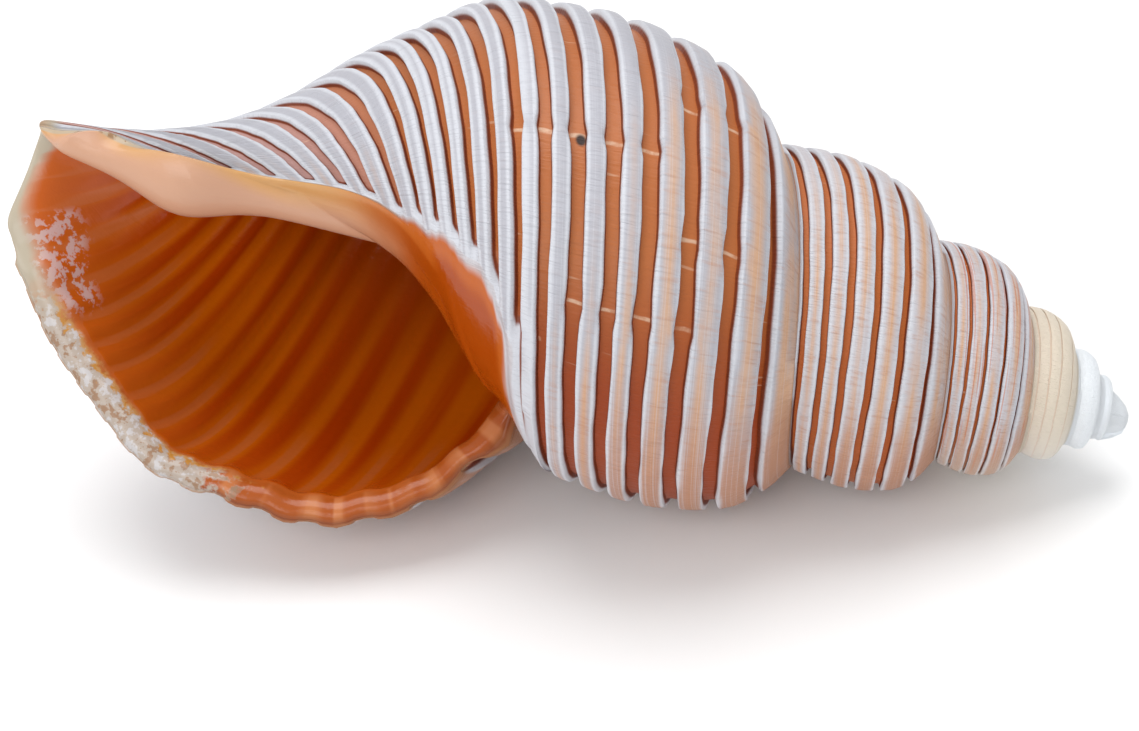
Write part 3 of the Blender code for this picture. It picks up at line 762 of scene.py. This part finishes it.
# Short ways of adding nodes to one material
class NodeBench:
    def __init__(self, name):
        self.material = bpy.data.materials.new(name)
        self.material.use_nodes = True
        self.tree = self.material.node_tree
        self.shader = self.tree.nodes["Principled BSDF"]

    def put(self, socket, value):
        if isinstance(value, bpy.types.NodeSocket):
            self.tree.links.new(value, socket)
        elif value is not None:
            socket.default_value = value

    def maths(self, operation, a, b=None):
        node = self.tree.nodes.new("ShaderNodeMath")
        node.operation = operation
        for socket, value in zip(node.inputs, (a, b)):
            self.put(socket, value)
        return node.outputs[0]

    def times(self, first, *others):
        for other in others:
            first = self.maths("MULTIPLY", first, other)
        return first

    def plus(self, first, *others):
        for other in others:
            first = self.maths("ADD", first, other)
        return first

    def ease(self, value, low, high, start=0.0, end=1.0):
        node = self.tree.nodes.new("ShaderNodeMapRange")
        node.interpolation_type = "SMOOTHSTEP"
        for socket, item in zip(node.inputs, (value, low, high, start, end)):
            self.put(socket, item)
        return node.outputs["Result"]

    def band(self, value, low, high, fade):  # 1 between two places, fading out past them
        return self.times(self.ease(value, low - fade, low), self.ease(value, high + fade, high))

    def blend(self, share, a, b):
        node = self.tree.nodes.new("ShaderNodeMix")
        node.data_type = "RGBA"
        self.put(node.inputs["Factor"], share)
        self.put(node.inputs["A"], screenColour(a) if isinstance(a, str) else a)
        self.put(node.inputs["B"], screenColour(b) if isinstance(b, str) else b)
        return node.outputs["Result"]

    def parts(self, vector):
        node = self.tree.nodes.new("ShaderNodeSeparateXYZ")
        self.put(node.inputs[0], vector)
        return node.outputs

    def attribute(self, name):
        node = self.tree.nodes.new("ShaderNodeAttribute")
        node.attribute_name = name
        return self.parts(node.outputs["Vector"])

    def vector(self, x, y, z):
        node = self.tree.nodes.new("ShaderNodeCombineXYZ")
        for socket, value in zip(node.inputs, (x, y, z)):
            self.put(socket, value)
        return node.outputs[0]

    def noise(self, vector, scale, detail=2.0, roughness=0.5):
        node = self.tree.nodes.new("ShaderNodeTexNoise")
        self.put(node.inputs["Vector"], vector)
        node.inputs["Scale"].default_value = scale
        node.inputs["Detail"].default_value = detail
        node.inputs["Roughness"].default_value = roughness
        return node.outputs["Fac"]


# One material for the whole shell, which reads the marks on its points
class ShellPaint(NodeBench):
    def __init__(self):
        super().__init__("shellLime")
        self.back, self.across, self.sunk = self.attribute("spiral")
        self.glaze, self.reach, self.nearLip = self.attribute("zone")
        self.crest, self.ridge, self.pillar = self.attribute("detail")
        self.coords = self.tree.nodes.new("ShaderNodeTexCoord").outputs["Object"]
        self.along = self.parts(self.coords)[0]  # metres towards the spire from the middle
        self.patch = self.noise(self.coords, 42.0, 2.0)
        self.cloud = self.noise(self.coords, 90.0, 3.0)
        self.fineCloud = self.noise(self.coords, 1000.0, 4.0, 0.6)
        self.growthLine = self.spiralNoise(290.0, 7.0, 1.0)
        self.fineLine = self.spiralNoise(560.0, 12.0, 7.0)

    def spiralNoise(self, alongScale, acrossScale, seed, detail=2.0):
        along = self.times(self.back, alongScale)
        across = self.times(self.across, acrossScale)
        return self.noise(self.vector(along, across, seed), 1.0, detail)

    def facing(self, back):  # 1 on the side of the shell that lies so far back, -1 on the other side
        return self.maths("COSINE", self.times(self.plus(self.back, -back), 2 * math.pi))

    def ribs(self):
        # Warm peach comes in random patches, on the spire and nearer each whorl's upper seam, and leans
        # towards the underside as painted shade
        low = self.times(self.facing(1.05), 0.2)
        right = self.ease(self.across, 1.0, 0.35, -0.1, 0.24)
        spire = self.ease(self.back, 1.2, 2.2, 0.0, 0.26)
        warm = self.ease(self.plus(self.patch, low, right, spire), 0.38, 0.66)
        middle = self.ease(self.crest, 0.35, 1.0)
        streak = self.ease(self.spiralNoise(7.0, 9.0, 3.0, 3.0), 0.3, 0.58)
        plain = self.blend(self.ease(self.back, 1.0, 1.4), "ribWhite", "ribSpire")
        colour = self.blend(self.times(streak, middle, warm), plain, "ribPeach")
        # Painted shade: the ribs turn pinkish brown on the underside
        below = self.ease(self.facing(1.08), 0.35, 0.95)
        colour = self.blend(self.times(below, self.ease(self.across, 1.1, 0.6), 0.9), colour, "ribPink")
        lines = self.times(self.ease(self.growthLine, 0.5, 0.75), self.plus(warm, 0.15), 0.38)
        colour = self.blend(lines, colour, "ribPink")
        thread = self.times(self.ease(self.spiralNoise(1.5, 260.0, 2.0, 1.0), 0.56, 0.68), 0.3)
        colour = self.blend(thread, colour, "ribEdge")
        # Painted highlight: the ribs' rounded edges are paler beside the grooves
        return self.blend(self.times(self.ease(self.crest, 0.5, 0.1), 0.85), colour, "ribEdge")

    def grooves(self):
        # Painted shade: the grooves turn darker and deeper orange on the underside, unevenly with the
        # patches
        low = self.ease(self.plus(self.facing(1.05), self.times(self.patch, 0.5)), 0.35, 1.1)
        colour = self.blend(low, "groove", "grooveUnderShade")
        colour = self.blend(self.ease(self.back, 1.3, 2.3), colour, "grooveSpire")
        colour = self.blend(self.ease(self.across, 1.45, 1.95, 0.0, 0.75), colour, "grooveNeck")
        flecks = self.ease(self.spiralNoise(150.0, 3.0, 4.0, 1.0), 0.71, 0.75, 0.0, 0.4)
        colour = self.blend(flecks, colour, "crossMark")
        waver = self.times(self.plus(self.noise(self.coords, 500.0, 1.0), -0.5), 0.006)
        uneven = self.ease(self.fineCloud, 0.35, 0.6, 0.25, 0.9)
        for back, first, last in growthStops:
            near = self.maths("ABSOLUTE", self.plus(self.back, waver, -back))
            line = self.times(self.ease(near, 0.002, 0.0007), self.band(self.across, first, last, 0.01))
            colour = self.blend(self.times(line, uneven), colour, "crossMark")
        # Painted shade: a darker line down the steep walls of each groove
        colour = self.blend(self.ease(self.sunk, 0.98, 0.8), colour, "grooveWallShade")
        return self.blend(self.spot(*growthPit["place"], growthPit["size"]), colour, "pit")

    def spot(self, back, across, size):  # a round spot on the last whorl, its size in whorls
        aside = self.times(self.plus(self.across, -across), 0.26)
        behind = self.plus(self.back, -back)
        square = self.plus(self.times(aside, aside), self.times(behind, behind))
        return self.ease(self.maths("SQRT", square), size, size * 0.45)

    def outside(self):  # ribs and grooves, cream and white on the oldest whorls
        ribs = self.ribs()
        threads = self.times(self.ease(self.spiralNoise(5.0, 42.0, 6.0, 1.0), 0.58, 0.64),
                             self.band(self.back, 2.6, 3.1, 0.2), 0.55)
        ribs = self.blend(threads, ribs, "grooveSpire")
        colour = self.blend(self.ease(self.sunk, 0.3, 0.62), ribs, self.grooves())
        pale = self.ease(self.back, 2.9, 3.3)
        pale = self.times(pale, self.ease(self.sunk, 0.95, 0.3, 0.82, 1.0))
        colour = self.blend(pale, colour, "cream")
        colour = self.blend(self.ease(self.back, 3.85, 4.4), colour, "apex")
        canal = self.times(self.ease(self.across, 1.75, 2.0), self.ease(self.nearLip, 0.0, 0.5))
        colour = self.blend(canal, colour, "canalCream")
        return self.blend(self.ease(self.nearLip, 0.25, 0.8), colour, self.lipRim())

    def lipRim(self):  # glossy brown below, chalky and worn further up, cream round the canal
        facets = self.ease(self.spiralNoise(2.0, 17.0, 5.0, 1.0), 0.42, 0.62)
        glossy = self.blend(facets, "lipOrange", "lipStreak")
        # Painted shade: the bead turns darker towards its lower, outer edge
        glossy = self.blend(self.ease(self.reach, 0.12, 0.03, 0.0, 0.7), glossy, "lipEdgeShade")
        ragged = self.times(self.plus(self.fineCloud, self.cloud, -1.0), 0.5)
        chalky = self.times(self.band(self.plus(self.across, ragged), 0.84, 1.5, 0.08),
                            self.ease(self.plus(self.reach, ragged), 0.38, 0.28))
        chalk = self.blend(self.times(self.ease(self.cloud, 0.42, 0.62), 0.75), "lipChalk", "lipTan")
        chalk = self.blend(self.times(self.ease(self.fineCloud, 0.54, 0.6), 0.65), chalk, "lipSpeck")
        chalk = self.blend(self.times(self.ease(self.fineCloud, 0.46, 0.4), 0.5), chalk, "ribEdge")
        inner = self.times(self.band(self.plus(self.reach, ragged), 0.27, 0.33, 0.05), 0.7)
        chalk = self.blend(inner, chalk, "lipYellow")
        colour = self.blend(chalky, glossy, chalk)
        colour = self.blend(self.ease(self.across, 1.45, 1.62), colour, "canalCream")
        return self.blend(self.ease(self.reach, 0.035, 0.01, 0.0, 0.5), colour, "lipTan")

    def callus(self):  # the glaze on the inner lip, pale at the canal and deep orange at the seam, with painted shade where it turns into the hollow
        depth = self.plus(self.glaze, self.times(self.plus(self.cloud, -0.5), 0.2))
        along = self.plus(self.along, self.times(self.plus(self.cloud, -0.5), 0.005))
        colour = self.blend(self.ease(along, -0.021, -0.009), "callus", "callusDeep")
        pale = self.times(self.ease(self.reach, 0.06, 0.42), self.ease(along, -0.010, -0.018))
        colour = self.blend(pale, colour, "callusPale")
        # Painted shade: darker deep in the glaze, where it turns into the hollow
        inner = self.times(self.ease(depth, 0.5, 1.0), self.ease(along, -0.017, -0.008), 0.85)
        colour = self.blend(inner, colour, "insideDeepShade")
        canal = self.times(self.ease(self.across, 1.95, 2.25), self.ease(depth, 0.95, 0.7))
        colour = self.blend(self.times(canal, 0.8), colour, "canalCream")
        dots = self.times(self.ease(self.fineCloud, 0.6, 0.66), canal, 0.7)
        colour = self.blend(dots, colour, "lipSpeck")
        width = self.ease(self.back, 0.84, 0.93, 0.16, 0.46)
        past = self.plus(self.glaze, self.times(width, -1.0))
        return self.blend(self.ease(past, 0.14, -0.14), colour, "border")

    def hollow(self):  # bands along the ridges, paler near the lip, a painted highlight on the ridges, a worn patch, and painted shade darker far in
        bands = self.plus(self.times(self.ridge, 0.55), self.spiralNoise(2.0, 9.0, 12.0))
        colour = self.blend(self.ease(bands, 0.6, 1.1), "insideAmber", "insideRed")
        left = self.ease(self.across, 0.7, 1.3)
        near = self.ease(self.reach, 1.9, 0.5)
        colour = self.blend(self.times(self.plus(left, 0.35), near, 0.7), colour, "insideTan")
        # Painted highlight: pinkish reflections along the ridges a little inside the lip
        gleam = self.times(self.ease(self.ridge, 0.3, 0.08), self.band(self.reach, 0.5, 1.4, 0.6), 0.4)
        colour = self.blend(gleam, colour, "insideRidgeHighlight")
        worn = self.times(self.band(self.across, 1.5, 1.7, 0.06), self.band(self.reach, 0.25, 0.65, 0.2))
        worn = self.times(worn, self.ease(self.fineCloud, 0.49, 0.56), 0.5)
        colour = self.blend(worn, colour, "ribEdge")
        # Painted shade: the hollow darkens far in
        return self.blend(self.ease(self.reach, 2.2, 4.2), colour, "insideDeepShade")

    def colour(self):
        fromLip = self.plus(self.reach, self.times(self.plus(self.cloud, -0.5), 0.1))
        canal = self.band(self.across, 1.6, 1.85, 0.15)
        start = self.plus(self.times(canal, -0.14), 0.3)
        end = self.plus(start, self.times(canal, 0.12), 0.12)
        throat = self.blend(self.ease(fromLip, start, end), self.lipRim(), self.hollow())
        start = self.ease(self.along, -0.022, -0.010, 1.4, 0.3)
        callus = self.callus()
        side = self.blend(self.ease(self.reach, start, self.plus(start, 0.6)), callus, self.hollow())
        glazed = self.blend(self.pillar, throat, side)
        glazed = self.blend(self.ease(self.reach, 0.0, 0.02), callus, glazed)
        return self.blend(self.ease(self.glaze, 0.0, 0.04), self.outside(), glazed)


def shellMaterial():
    paint = ShellPaint()
    shader = paint.shader
    paint.put(shader.inputs["Base Color"], paint.colour())
    rough = paint.ease(paint.glaze, 0.1, 0.5, shellLooks["ribRoughness"], shellLooks["glazeRoughness"])
    uneven = paint.ease(paint.patch, 0.3, 0.7, -0.04, 0.08)
    paint.put(shader.inputs["Roughness"], paint.plus(rough, uneven))
    shader.inputs["Specular IOR Level"].default_value = shellLooks["specular"]

    # Relief: growth lines over the ribs, and a grained skin
    lines = paint.plus(paint.times(paint.growthLine, 0.9), paint.times(paint.fineLine, 0.6))
    lines = paint.times(lines, paint.ease(paint.sunk, 0.9, 0.4, 0.35, 1.0))  # fainter in the grooves
    lines = paint.times(lines, paint.ease(paint.glaze, 0.0, 0.3, 1.0, 0.06))
    grain = paint.noise(paint.coords, 1400.0, 2.0)
    bump = paint.tree.nodes.new("ShaderNodeBump")
    bump.inputs["Strength"].default_value = shellLooks["reliefStrength"]
    bump.inputs["Distance"].default_value = shellLooks["reliefDistance"]
    paint.put(bump.inputs["Height"], paint.plus(lines, paint.times(grain, 0.12)))
    paint.put(shader.inputs["Normal"], bump.outputs[0])
    return paint.material


floorLook = {"size": 3.0, "colour": (0.93, 0.93, 0.93, 1.0), "roughness": 0.9}


def makeFloor():
    bm = bmesh.new()
    bmesh.ops.create_grid(bm, x_segments=1, y_segments=1, size=floorLook["size"] / 2)
    mesh = bpy.data.meshes.new("floor")
    bm.to_mesh(mesh)
    bm.free()
    material = bpy.data.materials.new("floorPaper")
    material.use_nodes = True
    shader = material.node_tree.nodes["Principled BSDF"]
    shader.inputs["Base Color"].default_value = floorLook["colour"]
    shader.inputs["Roughness"].default_value = floorLook["roughness"]
    mesh.materials.append(material)
    floor = bpy.data.objects.new("floor", mesh)
    bpy.context.scene.collection.objects.link(floor)


roomLight = 0.62
lamps = {  # place, target, size in metres and power in watts
    "topSoftbox": ((-0.04, 0.12, 0.6), (0.0, 0.0, 0.02), 0.45, 2.3),
    "frontFill": ((-0.12, -0.55, 0.42), (0.0, 0.0, 0.02), 0.4, 1.3),
    "leftFill": ((-0.55, -0.2, 0.25), (0.0, 0.0, 0.02), 0.3, 0.5),
}


def lightScene():
    for name, (place, target, size, power) in lamps.items():
        lamp = bpy.data.lights.new(name, "AREA")
        lamp.size = size
        lamp.energy = power
        item = bpy.data.objects.new(name, lamp)
        item.location = place
        item.rotation_euler = (Vector(target) - Vector(place)).to_track_quat("-Z", "Y").to_euler()
        bpy.context.scene.collection.objects.link(item)
    world = bpy.data.worlds.new("studio")
    world.use_nodes = True
    background = world.node_tree.nodes["Background"]
    background.inputs["Color"].default_value = (1.0, 1.0, 1.0, 1.0)
    background.inputs["Strength"].default_value = roomLight
    bpy.context.scene.world = world


viewpoint = {  # metres, degrees and millimetres
    "place": (0.03451822, -0.1884139, 0.15791395),
    "turn": (51.9414, 4.12333, 7.4207),
    "lens": 88.4987,
    "sensor": 36.0,
    "nearest": 0.01,
}


def placeCamera():
    camera = bpy.data.cameras.new("camera")
    camera.lens = viewpoint["lens"]
    camera.sensor_width = viewpoint["sensor"]
    camera.clip_start = viewpoint["nearest"]
    item = bpy.data.objects.new("camera", camera)
    item.location = viewpoint["place"]
    item.rotation_euler = [math.radians(angle) for angle in viewpoint["turn"]]
    bpy.context.scene.collection.objects.link(item)
    bpy.context.scene.camera = item


shell = makeShell()
shell.data.materials.append(shellMaterial())
print("shell coloured")
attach(shell, "root")
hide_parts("shell")
print("shell set on the frame")
makeFloor()
lightScene()
placeCamera()
bpy.context.scene.view_settings.view_transform = "Standard"
print("stage lit")

bpy.context.view_layer.update()
